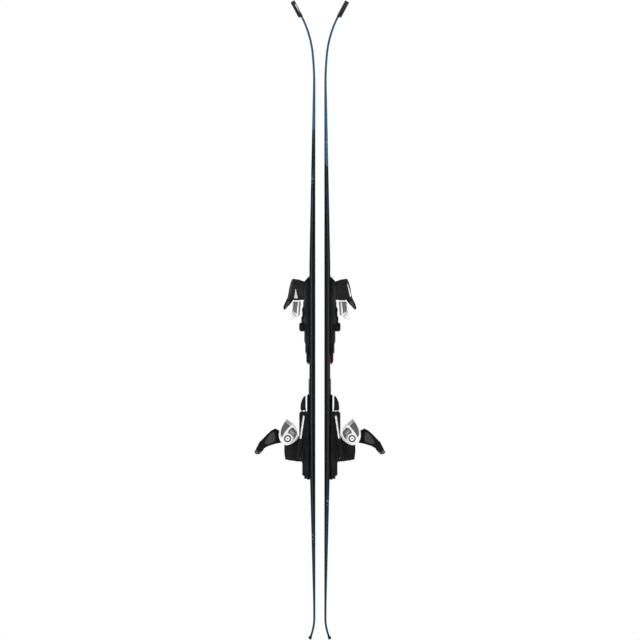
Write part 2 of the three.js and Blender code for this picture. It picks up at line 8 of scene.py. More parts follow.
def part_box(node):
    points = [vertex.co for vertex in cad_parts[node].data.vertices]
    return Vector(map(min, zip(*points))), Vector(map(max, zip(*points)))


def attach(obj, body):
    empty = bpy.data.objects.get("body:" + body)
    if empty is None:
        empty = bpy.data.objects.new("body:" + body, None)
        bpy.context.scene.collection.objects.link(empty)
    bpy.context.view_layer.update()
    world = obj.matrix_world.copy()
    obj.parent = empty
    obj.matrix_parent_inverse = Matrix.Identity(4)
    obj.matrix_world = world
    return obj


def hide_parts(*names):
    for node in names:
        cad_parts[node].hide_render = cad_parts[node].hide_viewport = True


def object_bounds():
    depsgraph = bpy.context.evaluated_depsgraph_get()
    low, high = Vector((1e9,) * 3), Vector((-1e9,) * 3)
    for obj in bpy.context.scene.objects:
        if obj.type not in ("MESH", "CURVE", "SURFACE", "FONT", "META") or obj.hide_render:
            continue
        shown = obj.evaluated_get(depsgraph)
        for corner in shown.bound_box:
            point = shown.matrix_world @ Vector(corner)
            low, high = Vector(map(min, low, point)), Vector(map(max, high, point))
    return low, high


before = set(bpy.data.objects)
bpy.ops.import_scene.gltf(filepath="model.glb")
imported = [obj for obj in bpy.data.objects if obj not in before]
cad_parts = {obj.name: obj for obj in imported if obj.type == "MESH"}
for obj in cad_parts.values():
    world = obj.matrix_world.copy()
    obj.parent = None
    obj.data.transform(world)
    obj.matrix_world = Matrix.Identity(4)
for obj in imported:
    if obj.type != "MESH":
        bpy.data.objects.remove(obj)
cad_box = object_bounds()
low, high = cad_box
height = high.z - low.z
scene = bpy.context.scene

# Each ski is described in its own frame, in millimetres: (x, y, z) = (height above the running base,
# across the ski, along the ski from tail to tip). The first ski is the second one turned half a turn.
MM = 0.001
HALF_GAP = -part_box("ski1_running_base")[1].x
SKIS = (1, 2)
SIDES = (1, -1)


def ski_frame(ski):
    turn = Matrix.Rotation(math.pi, 4, "Z") if ski == 1 else Matrix.Identity(4)
    return Matrix.Translation((HALF_GAP if ski == 2 else -HALF_GAP, 0, 0)) @ turn @ Matrix.Scale(MM, 4)


# ---- materials ----------------------------------------------------------------------------------
# Depths of the surface grain and the place where a wing's pale flange ends, in metres.
GRAIN_DEPTH = 0.00004
FINE_DEPTH = 0.00002
FLANGE_TOP_Z = 0.8334


def linear(code):
    parts = [int(code[i:i + 2], 16) / 255 for i in (1, 3, 5)]
    return tuple(c / 12.92 if c <= 0.04045 else ((c + 0.055) / 1.055) ** 2.4 for c in parts)


class Finish:
    """One procedural material on a ski's own coordinates, in metres."""

    def __init__(self, name, ski):
        self.material = bpy.data.materials.new(name)
        self.material.use_nodes = True
        self.tree = self.material.node_tree
        self.shader = self.tree.nodes["Principled BSDF"]
        place = self.node("ShaderNodeTexCoord").outputs["Object"]
        mapping = self.node("ShaderNodeMapping")
        mapping.inputs["Rotation"].default_value = (0, 0, math.pi if ski == 1 else 0)
        mapping.inputs["Location"].default_value = (-HALF_GAP, 0, 0)
        self.link(place, mapping.inputs["Vector"])
        self.position = mapping.outputs["Vector"]
        split = self.node("ShaderNodeSeparateXYZ")
        self.link(self.position, split.inputs[0])
        self.x, self.y, self.z = split.outputs

    def node(self, kind, **settings):
        made = self.tree.nodes.new(kind)
        for key, value in settings.items():
            setattr(made, key, value)
        return made

    def link(self, a, b):
        self.tree.links.new(a, b)

    def feed(self, socket, value):
        if isinstance(value, bpy.types.NodeSocket):
            self.link(value, socket)
        else:
            socket.default_value = value

    def math(self, operation, a, b=0.0):
        made = self.node("ShaderNodeMath", operation=operation)
        self.feed(made.inputs[0], a)
        self.feed(made.inputs[1], b)
        return made.outputs[0]

    def ramp(self, value, low, high, out_low=0.0, out_high=1.0):
        made = self.node("ShaderNodeMapRange")
        for key, v in zip(("Value", "From Min", "From Max", "To Min", "To Max"),
                          (value, low, high, out_low, out_high)):
            self.feed(made.inputs[key], v)
        return made.outputs[0]

    def stretched(self, scale):
        made = self.node("ShaderNodeMapping")
        made.inputs["Scale"].default_value = scale
        self.link(self.position, made.inputs["Vector"])
        return made.outputs["Vector"]

    def noise(self, scale, detail=3.0, vector=None):
        made = self.node("ShaderNodeTexNoise")
        made.inputs["Scale"].default_value = scale
        made.inputs["Detail"].default_value = detail
        self.link(vector or self.position, made.inputs["Vector"])
        return made.outputs[0]

    def mix(self, factor, a, b):
        made = self.node("ShaderNodeMix", data_type="RGBA")
        self.feed(made.inputs[0], factor)
        for socket, value in ((made.inputs[6], a), (made.inputs[7], b)):
            self.feed(socket, (*value, 1) if isinstance(value, tuple) else value)
        return made.outputs[2]

    def finish(self, colour, roughness, bump=None, bump_depth=0.0, metallic=0.0, specular=0.3, coat=0.0):
        self.feed(self.shader.inputs["Base Color"], colour)
        self.feed(self.shader.inputs["Roughness"], roughness)
        self.shader.inputs["Metallic"].default_value = metallic
        self.shader.inputs["Specular IOR Level"].default_value = specular
        self.shader.inputs["Coat Weight"].default_value = coat
        self.shader.inputs["Coat Roughness"].default_value = 0.15
        if bump is not None:
            made = self.node("ShaderNodeBump")
            made.inputs["Strength"].default_value = 1.0
            made.inputs["Distance"].default_value = bump_depth
            self.link(bump, made.inputs["Height"])
            self.link(made.outputs[0], self.shader.inputs["Normal"])
        return self.material


def moulded(name, ski, dark, light, rough=(0.4, 0.56), grain=1100, depth=GRAIN_DEPTH):
    """Injection-moulded plastic: fine grain, faint blotches and scuffs along the ski."""
    f = Finish(name, ski)
    blotch = f.noise(38, 4)
    scuff = f.ramp(f.noise(260, 2, f.stretched((1, 1, 0.12))), 0.62, 0.75)
    colour = f.mix(f.ramp(blotch, 0.35, 0.65), linear(dark), linear(light))
    worn = tuple(min(1, c * 1.8 + 0.004) for c in linear(light))
    colour = f.mix(f.math("MULTIPLY", scuff, 0.2), colour, worn)
    roughness = f.ramp(f.noise(90, 3), 0.3, 0.7, *rough)
    return f.finish(colour, roughness, f.noise(grain, 2), depth, specular=0.12)


def wing_finish(ski):
    """White flange, black arm: the arm starts under the housing."""
    f = Finish(f"ski{ski}_wing_plastic", ski)
    pale = f.mix(f.ramp(f.noise(38, 4), 0.35, 0.65), linear("#dcdddd"), linear("#ededee"))
    colour = f.mix(f.ramp(f.z, FLANGE_TOP_Z, FLANGE_TOP_Z + 0.0003), pale, linear("#0c0c0d"))
    roughness = f.ramp(f.noise(90, 3), 0.3, 0.7, 0.36, 0.5)
    return f.finish(colour, roughness, f.noise(1100, 2), GRAIN_DEPTH, specular=0.15)


def ribbed(name, ski, dark, light, direction, pitch=0.0021, depth=0.00016):
    """Plastic with fine parallel ribs that run square to a direction in the (x, z) plane, painted darker in
    their troughs and lighter on their crests as shade and highlight.
    """
    f = Finish(name, ski)
    along = f.math("ADD", f.math("MULTIPLY", f.x, direction[0]), f.math("MULTIPLY", f.z, direction[1]))
    wave = f.math("SINE", f.math("MULTIPLY", along, 2 * math.pi / pitch))
    # The colour follows the ribs' height: painted shade in the troughs, painted highlight on the crests.
    colour = f.mix(f.ramp(wave, -1, 1), linear(dark), linear(light))
    roughness = f.ramp(f.noise(120, 2), 0.3, 0.7, 0.4, 0.55)
    return f.finish(colour, roughness, wave, depth, specular=0.15)


def steel(name, ski, stretch=(1, 1, 0.02), tone="#b9bcc0", rough=(0.22, 0.38), metallic=1.0):
    """Ground or drawn steel with fine lines along one direction."""
    f = Finish(name, ski)
    lines = f.noise(2600, 2, f.stretched(stretch))
    dark = tuple(c * 0.72 for c in linear(tone))
    colour = f.mix(f.ramp(lines, 0.3, 0.7), dark, linear(tone))
    roughness = f.ramp(f.noise(70, 3), 0.3, 0.7, *rough)
    return f.finish(colour, roughness, lines, 0.00001, metallic=metallic, specular=0.5)


def ski_colours(f, blue_front, blue_back, black, fleck, tail):
    """Blue shovel, a ragged diagonal border, near-black middle with flecks, teal-navy tail."""
    ragged = f.math("MULTIPLY", f.math("SUBTRACT", f.noise(55, 2), 0.5), 0.09)
    border = f.math("ADD", f.math("ADD", f.y, 1.205), ragged)
    ahead = f.ramp(f.math("SUBTRACT", f.z, border), -0.0006, 0.0006)
    blue = f.mix(f.ramp(f.z, 1.2, 1.5), linear(blue_back), linear(blue_front))
    blue = f.mix(f.ramp(f.noise(24, 5), 0.45, 0.7, 0, 0.35), blue, linear("#16384d"))
    streaks = f.noise(120, 2, f.stretched((1, 1, 0.16)))
    flecks = f.math("MULTIPLY", f.ramp(streaks, 0.55, 0.66), f.ramp(f.z, 0.86, 1.0))
    middle = f.mix(f.math("MULTIPLY", flecks, 0.8), linear(black), linear(fleck))
    toward_tail = f.ramp(f.z, 0.40, 0.06)
    rear = f.mix(f.math("POWER", toward_tail, 1.2), middle, linear(tail))
    return f.mix(ahead, rear, blue)


def top_sheet_finish(ski):
    f = Finish(f"ski{ski}_top_sheet", ski)
    colour = ski_colours(f, "#2a6486", "#29678a", "#0c1015", "#173b52", "#16425a")
    # Thin pale chevrons frame the middle, and a fine diagonal hatch lies under the clear coat.
    slope = f.math("ADD", f.z, f.y)
    for at, half in ((1.175, 0.0016), (1.165, 0.0006), (0.30, 0.0016), (0.29, 0.0006)):
        near = f.math("ABSOLUTE", f.math("SUBTRACT", slope, at))
        colour = f.mix(f.ramp(near, half, half * 0.6, 0, 0.7), colour, linear("#8aa3b2"))
    hatch = f.math("SINE", f.math("MULTIPLY", slope, 2 * math.pi / 0.004))
    colour = f.mix(f.ramp(hatch, 0.2, 1.0, 0, 0.16), colour, linear("#020406"))
    # A short red accent line runs along one shoulder between the two bindings.
    from_middle = f.math("ABSOLUTE", f.math("SUBTRACT", f.z, 0.670))
    shoulder = f.math("MULTIPLY", f.ramp(f.y, -0.0315, -0.0320), f.ramp(f.x, 0.0128, 0.0131))
    line = f.math("MULTIPLY", f.ramp(from_middle, 0.029, 0.027), shoulder)
    colour = f.mix(f.math("MULTIPLY", line, 0.6), colour, linear("#8c3a35"))
    roughness = f.ramp(f.noise(60, 4), 0.3, 0.7, 0.26, 0.42)
    brushed = f.noise(900, 3, f.stretched((1, 1, 0.05)))
    return f.finish(colour, roughness, brushed, FINE_DEPTH, specular=0.15, coat=0.08)


def sidewall_finish(ski):
    f = Finish(f"ski{ski}_sidewall", ski)
    colour = ski_colours(f, "#1f526f", "#1b4c69", "#07090c", "#0a1e2d", "#0b3750")
    milled = f.noise(1500, 2, f.stretched((1, 1, 0.02)))
    roughness = f.ramp(f.noise(50, 3), 0.3, 0.7, 0.4, 0.58)
    return f.finish(colour, roughness, milled, FINE_DEPTH, specular=0.08)


def base_finish(ski):
    f = Finish(f"ski{ski}_running_base", ski)
    structure = f.noise(1800, 2, f.stretched((1, 1, 0.01)))
    colour = f.mix(f.ramp(f.noise(30, 3), 0.3, 0.7), linear("#0a0b0d"), linear("#121316"))
    pale = f.mix(f.ramp(f.noise(40, 3), 0.3, 0.7), linear("#1c4257"), linear("#24536c"))
    slope = f.math("SUBTRACT", f.z, f.math("MULTIPLY", f.y, 1.6))
    soft = 0.0008
    for low_end, high_end in ((1.16, 1.30), (1.325, 1.34), (1.365, 1.372)):
        past_low = f.ramp(slope, low_end, low_end + soft)
        before_high = f.ramp(slope, high_end, high_end - soft)
        colour = f.mix(f.math("MULTIPLY", past_low, before_high), colour, pale)
    return f.finish(colour, f.ramp(structure, 0.3, 0.7, 0.3, 0.5), structure, 0.00003, specular=0.15)


def guard_finish(ski):
    f = Finish(f"ski{ski}_guard", ski)
    slope = f.math("ADD", f.z, f.math("MULTIPLY", f.x, 1.6))
    hatch = f.math("SINE", f.math("MULTIPLY", slope, 2 * math.pi / 0.0085))
    # The colour follows the ribs' height: painted shade in the troughs, painted highlight on the crests.
    colour = f.mix(f.ramp(hatch, -0.2, 0.6), linear("#141414"), linear("#343435"))
    return f.finish(colour, f.ramp(f.noise(150, 2), 0.3, 0.7, 0.4, 0.6), hatch, 0.0002, specular=0.12)


def guard_slot_and_highlight_finish(ski):
    """The ski's blue edge where the guard leaves it bare, with a painted highlight that fades it to white at
    the tip.
    """
    f = Finish(f"ski{ski}_guard_slot", ski)
    # The fade to white toward the tip is a painted highlight on the blue edge.
    colour = f.mix(f.ramp(f.z, 1.536, 1.556), linear("#2b617f"), linear("#e6ecf0"))
    colour = f.mix(f.ramp(f.noise(400, 2), 0.4, 0.7, 0, 0.2), colour, linear("#1c4258"))
    roughness = f.ramp(f.noise(150, 2), 0.3, 0.7, 0.35, 0.5)
    return f.finish(colour, roughness, f.noise(900, 2), FINE_DEPTH, specular=0.2)


finishes = {}
for ski in SKIS:
    finishes[ski] = {
        "running_base": base_finish(ski),
        # The edge steel's tone is darkened so the edges stay dim, a painted shade.
        "edge_steel": steel(f"ski{ski}_edge_steel", ski, tone="#41596a", rough=(0.3, 0.45)),
        "wire_steel": steel(f"ski{ski}_wire_steel", ski, (1, 1, 0.3), "#f2f2ef", (0.25, 0.4), 0.55),
        "screw_steel": steel(f"ski{ski}_screw_steel", ski, (1, 0.1, 1), "#b4b7bb"),
        "sidewall": sidewall_finish(ski),
        "top_sheet": top_sheet_finish(ski),
        "guard": guard_finish(ski),
        "guard_slot": guard_slot_and_highlight_finish(ski),
        "black": moulded(f"ski{ski}_black_plastic", ski, "#0d0d0e", "#181819"),
        "soft_black": moulded(f"ski{ski}_soft_black_plastic", ski, "#171718", "#232324"),
        "track": moulded(f"ski{ski}_track_plastic", ski, "#100f0f", "#1d1c1b", grain=700, depth=0.00006),
        "deep_black": moulded(f"ski{ski}_deep_black_plastic", ski, "#060606", "#0e0e0f", rough=(0.32, 0.46)),
        # A lighter black that paints the soft reflection on the toe base's rounded side.
        "painted_reflection": moulded(f"ski{ski}_soft_ridge_plastic", ski, "#212021", "#2b2a2a"),
        "grip": moulded(f"ski{ski}_grip_plastic", ski, "#333334", "#454546", grain=520, depth=0.00012),
        "ridge": moulded(f"ski{ski}_ridge_plastic", ski, "#39383a", "#454446"),
        "white": moulded(f"ski{ski}_white_plastic", ski, "#e2e3e4", "#efeff0", rough=(0.35, 0.5)),
        "wing": wing_finish(ski),
        "silver": moulded(f"ski{ski}_silver_plastic", ski, "#c3c4c5", "#d3d4d5", rough=(0.3, 0.45)),
        "lever_rim": moulded(f"ski{ski}_lever_rim_plastic", ski, "#555556", "#68686a"),
        "mid_grey": moulded(f"ski{ski}_mid_grey_plastic", ski, "#8b8c8d", "#9c9d9e"),
        "grey": moulded(f"ski{ski}_grey_plastic", ski, "#3c3c3d", "#4b4b4c"),
        "panel": ribbed(f"ski{ski}_grey_panel", ski, "#505050", "#666666", (0.78, 0.62)),
        "wing_panel": ribbed(f"ski{ski}_wing_panel", ski, "#626262", "#747474", (0.97, 0.25), 0.0018),
        "leaf_field": ribbed(f"ski{ski}_leaf_field", ski, "#c2c2c2", "#dcdcdc", (0.62, 0.78), 0.0034,
                             0.00008),
    }


# ---- mesh helpers -------------------------------------------------------------------------------
def finish_piece(bm, name, ski, body, material, slot, replaces=(), sharp=35, metres=False, stage=False):
    """Makes an object of a bmesh that is in the ski's own millimetres, and lets it ride on its body."""
    if not metres:
        bm.transform(ski_frame(ski))
    bmesh.ops.recalc_face_normals(bm, faces=bm.faces)
    mesh = bpy.data.meshes.new(name)
    bm.to_mesh(mesh)
    bm.free()
    mesh.polygons.foreach_set("use_smooth", [True] * len(mesh.polygons))
    mesh.set_sharp_from_angle(angle=math.radians(sharp))
    piece = bpy.data.objects.new(name, mesh)
    scene.collection.objects.link(piece)
    mesh.materials.append(material)
    if stage:
        return piece
    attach(piece, f"ski{ski}_{body}")
    for node in replaces:
        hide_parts(f"ski{ski}_{node}")
    return piece


def add_piece(ski, body, bm, part, finish, slot, **more):
    """Adds a piece that is named after its ski, in one of that ski's finishes."""
    return finish_piece(bm, f"ski{ski}_{part}", ski, body, finishes[ski][finish], slot, **more)


def bevel(bm, width, segments=2, steeper_than=25):
    edges = [e for e in bm.edges if e.is_manifold and e.calc_face_angle(0) > math.radians(steeper_than)]
    bmesh.ops.bevel(bm, geom=edges, offset=width, offset_type="OFFSET", segments=segments, profile=0.5,
                    affect="EDGES", clamp_overlap=True, material=-1)


def joined(*parts):
    whole = bmesh.new()
    for part in parts:
        mesh = bpy.data.meshes.new("part")
        part.to_mesh(mesh)
        part.free()
        whole.from_mesh(mesh)
        bpy.data.meshes.remove(mesh)
    return whole


def smooth_outline(points, per_span=4):
    """A closed outline through the points, rounded between them."""
    made = []
    count = len(points)
    for i in range(count):
        p0, p1, p2, p3 = (Vector(points[(i + k) % count]) for k in (-1, 0, 1, 2))
        for step in range(per_span):
            t = step / per_span
            made.append(0.5 * (2 * p1 + (p2 - p0) * t + (2 * p0 - 5 * p1 + 4 * p2 - p3) * t ** 2
                               + (3 * p1 - p0 - 3 * p2 + p3) * t ** 3))
    return [tuple(p) for p in made]


def slab(outline, near, far, width=0.5, segments=2):
    """A side outline of (x, z) points carried across the ski from y = near to y = far, its rims rounded."""
    bm = bmesh.new()
    face = bm.faces.new([bm.verts.new((x, near, z)) for x, z in outline])
    grown = bmesh.ops.extrude_face_region(bm, geom=[face])["geom"]
    moved = [v for v in grown if isinstance(v, bmesh.types.BMVert)]
    bmesh.ops.translate(bm, verts=moved, vec=(0, far - near, 0))
    bmesh.ops.recalc_face_normals(bm, faces=bm.faces)
    if width:
        bevel(bm, width, segments)
    return bm


def on_flank(outline, side, flank, proud=0.35, depth=0.6, width=0.12):
    """A thin raised field of (x, z) points that lies on a part's side face and follows its taper.

    flank lists the part's half width at places along the ski. The field reaches proud past the face and depth
    into it, and a negative depth lifts it off the face."""
    bm = slab(outline, -depth, proud, width)
    for z, _ in flank:
        everything = list(bm.verts) + list(bm.edges) + list(bm.faces)
        bmesh.ops.bisect_plane(bm, geom=everything, dist=0.001, plane_co=(0, 0, z), plane_no=(0, 0, 1))
    for vert in bm.verts:
        vert.co.y = side * (between(flank, max(vert.co.z, flank[0][0])) + vert.co.y)
    return bm


def disc(x, z, near, far, radius):
    """A round boss whose axis runs across the ski."""
    bm = bmesh.new()
    bmesh.ops.create_cone(bm, cap_ends=True, segments=40, radius1=radius, radius2=radius,
                          depth=abs(far - near))
    bmesh.ops.rotate(bm, verts=bm.verts, matrix=Matrix.Rotation(math.pi / 2, 3, "X"))
    bmesh.ops.translate(bm, verts=bm.verts, vec=(x, (near + far) / 2, z))
    bevel(bm, 0.3, 2, 60)
    return bm


def ring(x, z, near, far, outer, inner):
    """A flat ring whose axis runs across the ski, turned from its cross-section."""
    bm = bmesh.new()
    section = ((inner, near), (outer, near), (outer, far), (inner, far))
    corners = [bm.verts.new((x + r, y, z)) for r, y in section]
    loop = [bm.edges.new((corners[i], corners[(i + 1) % 4])) for i in range(4)]
    bmesh.ops.spin(bm, geom=corners + loop, cent=(x, 0, z), axis=(0, 1, 0), angle=2 * math.pi, steps=48,
                   use_merge=True)
    bmesh.ops.remove_doubles(bm, verts=bm.verts, dist=1e-4)
    bmesh.ops.recalc_face_normals(bm, faces=bm.faces)
    bevel(bm, 0.2, 2, 60)
    return bm


def softened(ski, node, body, finish, slot, width=0.7, segments=2, grow=0.0):
    """A CAD node's shape with its edges rounded and, where grow is given, its faces moved out."""
    bm = bmesh.new()
    bm.from_mesh(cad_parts[f"ski{ski}_{node}"].data)
    bmesh.ops.remove_doubles(bm, verts=bm.verts, dist=1e-6)
    bmesh.ops.dissolve_limit(bm, angle_limit=math.radians(1), verts=bm.verts, edges=bm.edges)
    if grow:
        bm.normal_update()
        moves = [(vert, vert.normal * vert.calc_shell_factor() * grow * MM) for vert in bm.verts]
        for vert, move in moves:
            vert.co += move
    bevel(bm, width * MM, segments, 22)
    return add_piece(ski, body, bm, f"{node}_body", finish, slot, replaces=(node,), metres=True)


# ---- camera, light, floor -----------------------------------------------------------------------
FRAME_ROOM = 1.0008
CAMERA_SHIFT = 0.0004
CAMERA_AWAY = 4
AIM = Vector((0, 0, 0.75))
FILL_STRENGTH = 0.28
FRONT_WATTS, BACK_WATTS, TOP_WATTS = 30, 26, 32
SIDE_LIGHT_SIZE = (0.8, 2.4)
FLOOR_SIZE = 12
FLOOR_GLOW_NEAR, FLOOR_GLOW_FAR = 0.2, 0.55


def make_camera():
    data = bpy.data.cameras.new("camera")
    data.type = "ORTHO"
    data.ortho_scale = height * FRAME_ROOM
    data.clip_end = 20
    camera = bpy.data.objects.new("camera", data)
    camera.location = ((low.x + high.x) / 2 + CAMERA_SHIFT, -CAMERA_AWAY, (low.z + high.z) / 2)
    camera.rotation_euler = (math.radians(90), 0, 0)
    scene.collection.objects.link(camera)
    scene.camera = camera


def area_light(name, place, size, watts):
    data = bpy.data.lights.new(name, "AREA")
    data.shape = "RECTANGLE"
    data.size, data.size_y = size
    data.energy = watts
    lamp = bpy.data.objects.new(name, data)
    lamp.location = place
    lamp.rotation_euler = (AIM - Vector(place)).to_track_quat("-Z", "Y").to_euler()
    scene.collection.objects.link(lamp)


def make_stage():
    """A white studio: the backdrop is bright, and the parts are lit mostly from the sides and from above."""
    world = bpy.data.worlds.new("studio")
    world.use_nodes = True
    nodes, links = world.node_tree.nodes, world.node_tree.links
    fill = nodes["Background"]
    fill.inputs["Color"].default_value = (1, 1, 1, 1)
    fill.inputs["Strength"].default_value = FILL_STRENGTH
    backdrop = nodes.new("ShaderNodeBackground")
    backdrop.inputs["Color"].default_value = (1, 1, 1, 1)
    ray = nodes.new("ShaderNodeLightPath")
    blend = nodes.new("ShaderNodeMixShader")
    links.new(ray.outputs["Is Camera Ray"], blend.inputs[0])
    links.new(fill.outputs[0], blend.inputs[1])
    links.new(backdrop.outputs[0], blend.inputs[2])
    links.new(blend.outputs[0], nodes["World Output"].inputs["Surface"])
    scene.world = world
    scene.view_settings.view_transform = "Standard"
    for side in SIDES:
        area_light(f"front_{side}", (1.9 * side, -2.3, 1.2), SIDE_LIGHT_SIZE, FRONT_WATTS)
        area_light(f"back_{side}", (2.1 * side, 2.3, 1.5), SIDE_LIGHT_SIZE, BACK_WATTS)
    area_light("top", (0, 0, 3.6), (2.0, 2.0), TOP_WATTS)
    bm = bmesh.new()
    bmesh.ops.create_grid(bm, x_segments=2, y_segments=2, size=FLOOR_SIZE)
    f = Finish("floor", 2)
    floor = f.finish(f.mix(f.noise(3, 2), linear("#f2f2f2"), linear("#f7f7f7")), 0.6, specular=0.2)
    f.shader.inputs["Emission Color"].default_value = (1, 1, 1, 1)
    # The floor glows more away from the parts, where the lights no longer reach it.
    reach = f.math("ADD", f.math("MULTIPLY", f.x, f.x), f.math("MULTIPLY", f.y, f.y))
    f.feed(f.shader.inputs["Emission Strength"], f.ramp(reach, 1.0, 7.0, FLOOR_GLOW_NEAR, FLOOR_GLOW_FAR))
    finish_piece(bm, "floor", 2, None, floor, None, metres=True, stage=True)


# ---- the ski ------------------------------------------------------------------------------------
SKI_LENGTH = height / MM
END_COVER = 1.2
TIP_BEND_Z = 1360
TIP_BENDS = ((800, 0.0, math.radians(5.5)), (261, math.radians(5.5), math.radians(28)))
TAIL_BEND_Z, TAIL_RADIUS, TAIL_TURN = 54, 125, math.radians(18)
THICKNESS = ((0, 5), (90, 5.5), (400, 13.2), (600, 14.7), (927, 14.7), (1385, 5.5), (1570, 5))
BASE_SHEET = 1.4
SHOVEL_HALF = 59.4


def between(table, at):
    for (a0, b0), (a1, b1) in zip(table, table[1:]):
        if at <= a1:
            return b0 + (b1 - b0) * (at - a0) / (a1 - a0)
    return table[-1][1]


def base_line(z):
    """The running base's height and its lean from upright, at one place along the ski."""
    if z < TAIL_BEND_Z:
        straight = TAIL_BEND_Z - TAIL_RADIUS * math.sin(TAIL_TURN)
        lean = math.asin((TAIL_BEND_Z - max(z, straight)) / TAIL_RADIUS)
        return TAIL_RADIUS * (1 - math.cos(lean)) + max(straight - z, 0) * math.tan(TAIL_TURN), lean
    x, start = 0.0, TIP_BEND_Z
    for radius, turn0, turn1 in TIP_BENDS:
        end = start + radius * (math.sin(turn1) - math.sin(turn0))
        if z < end:
            lean = math.asin(max(z - start, 0) / radius + math.sin(turn0))
            return x + radius * (math.cos(turn0) - math.cos(lean)), -lean
        x += radius * (math.cos(turn0) - math.cos(turn1))
        start = end
    return x + (z - start) * math.tan(turn1), -turn1


def bezier(points, t):
    while len(points) > 1:
        points = [a.lerp(b, t) for a, b in zip(points, points[1:])]
    return points[0]


def half_widths():
    """(z, half the ski's width) from the tail's end to the tip's end."""
    tip, end = SKI_LENGTH - END_COVER, END_COVER
    curves = (
        ((0, end), (34, end), (51.5, 25), (51.5, 70)),
        ((51.5, 70), (36.5, 380), (36.5, 690)),
        ((36.5, 690), (36.5, 1065), (59.5, 1440)),
        ((59.5, 1440), (62, 1490), (38, tip), (0, tip)),
    )
    table = []
    for curve in curves:
        for i in range(60):
            at = bezier([Vector(p) for p in curve], i / 60)
            table.append((at.y, at.x))
    table.append((tip, 0.0))
    return table


WIDTHS = half_widths()


def stations():
    """Places along the ski, closer together at its round ends."""
    places = []
    for i in range(34):
        places.append(1.4 + 69 * (i / 34) ** 2)
    places += [70 + 1310 * i / 74 for i in range(74)]
    for i in range(61):
        places.append(SKI_LENGTH - END_COVER - 0.05 - 188.7 * (1 - i / 60) ** 1.9)
    return places


def sweep(section, count):
    """Carries a closed cross-section along the ski.

    section(half width, thickness) gives its points as (y, height)."""
    places = stations()
    bm = bmesh.new()
    bmesh.ops.create_grid(bm, x_segments=count, y_segments=len(places) - 1, size=0.5)
    bm.verts.ensure_lookup_table()
    for vert in bm.verts:
        column = round((vert.co.x + 0.5) * count) % count
        z = places[round((vert.co.y + 0.5) * (len(places) - 1))]
        x, lean = base_line(z)
        half_width = min(max(between(WIDTHS, z), 0.3), SHOVEL_HALF)
        y, lift = section(half_width, between(THICKNESS, z))[column]
        vert.co = (x + lift * math.cos(lean), y, z + lift * math.sin(lean))
    bmesh.ops.remove_doubles(bm, verts=bm.verts, dist=0.001)
    bmesh.ops.holes_fill(bm, edges=[e for e in bm.edges if e.is_boundary], sides=0)
    return bm


def both_sides(half_profile):
    return half_profile + [(-y, lift) for y, lift in reversed(half_profile)]


def base_section(w, t):
    inner = max(w - 2.4, 0.1)
    return [(inner, 0), (inner, BASE_SHEET), (-inner, BASE_SHEET), (-inner, 0)]


def sidewall_section(w, t):
    out = max(w - 0.3, 0.15)
    return both_sides([(out, BASE_SHEET - 0.05), (out, 0.5 * t), (max(out - 0.6, 0.1), 0.56 * t)])


def cap_section(w, t):
    out, lip = max(w - 0.25, 0.2), 0.5 * t
    ins = [min(d, 0.8 * out) for d in (0.0, 0.35, 2.6, 3.3, 4.3)]
    half = [(max(out - 2.0, 0.1), lip - 0.2), (out - ins[0], lip), (out - ins[1], lip + 0.25 * (t - lip)),
            (out - ins[2], t - 0.35), (out - ins[3], t - 0.08), (out - ins[4], t), ((out - ins[4]) * 0.5, t)]
    return both_sides(half)


def edge_section(side):
    def section(w, t):
        inner, lip = max(w - 2.2, 0.05), 0.25
        points = [(inner, 0.0), (max(w - lip, inner), 0.0), (max(w, inner + 0.05), lip),
                  (max(w, inner + 0.05), BASE_SHEET), (inner, BASE_SHEET)]
        return [(side * y, lift) for y, lift in points]
    return section


def above_base(z, lift):
    """The (x, z) point that is lift square above the running base."""
    x, lean = base_line(z)
    return x + lift * math.cos(lean), z + lift * math.sin(lean)


def make_ski(ski):
    def part(bm, name, finish, slot, node, **more):
        add_piece(ski, "ski", bm, name, finish, slot, replaces=(node,), **more)

    part(sweep(base_section, 4), "base_sheet", "running_base", "running_base", "running_base")
    part(sweep(sidewall_section, 6), "sidewall", "sidewall", "core", "ski_core")
    part(sweep(cap_section, 14), "cap", "top_sheet", "top_sheet", "top_sheet", sharp=50)
    for side, word in zip(SIDES, ("right", "left")):
        part(sweep(edge_section(side), 5), f"edge_{word}", "edge_steel", "steel", f"steel_edge_{word}")
    softened(ski, "tip_guard", "ski", "guard", "black_plastic", 0.9)
    softened(ski, "tail_guard", "ski", "guard", "black_plastic", 0.7)
    flank = [(z, between(WIDTHS, z) + 1.2) for z in range(1530, 1566, 4)]
    lifts = ((1536, 0.9), (1548, 1.1), (1561, 1.2), (1561, 3.4), (1548, 3.0), (1536, 2.0))
    slot = [above_base(z, lift) for z, lift in lifts]
    add_piece(ski, "ski", on_flank(slot, 1, flank, 0.25, 0.4, 0.08), "guard_slot", "guard_slot", "top_sheet")


# ---- toe piece ----------------------------------------------------------------------------------
HOUSING_FLANK = ((834, 31), (866, 31), (880, 28), (888, 21))
FIN_FLANK = ((808, 19), (822, 25), (833.9, 27))
TOE_FLANK = ((600, 31), (900, 31))
COVER_FLANK = ((800, 30.6), (900, 30.6))
WING_FLANK = ((784.4, 42), (790, 43.5), (806, 44), (818, 42), (826, 37), (830, 32))


def across(outline, half):
    """A plain filler block as wide as both sides' half."""
    return slab(outline, -half, half, 0)


def upright(x0, x1, z0, z1):
    """A rectangle's corners in the (x, z) plane."""
    return [(x0, z0), (x1, z0), (x1, z1), (x0, z1)]


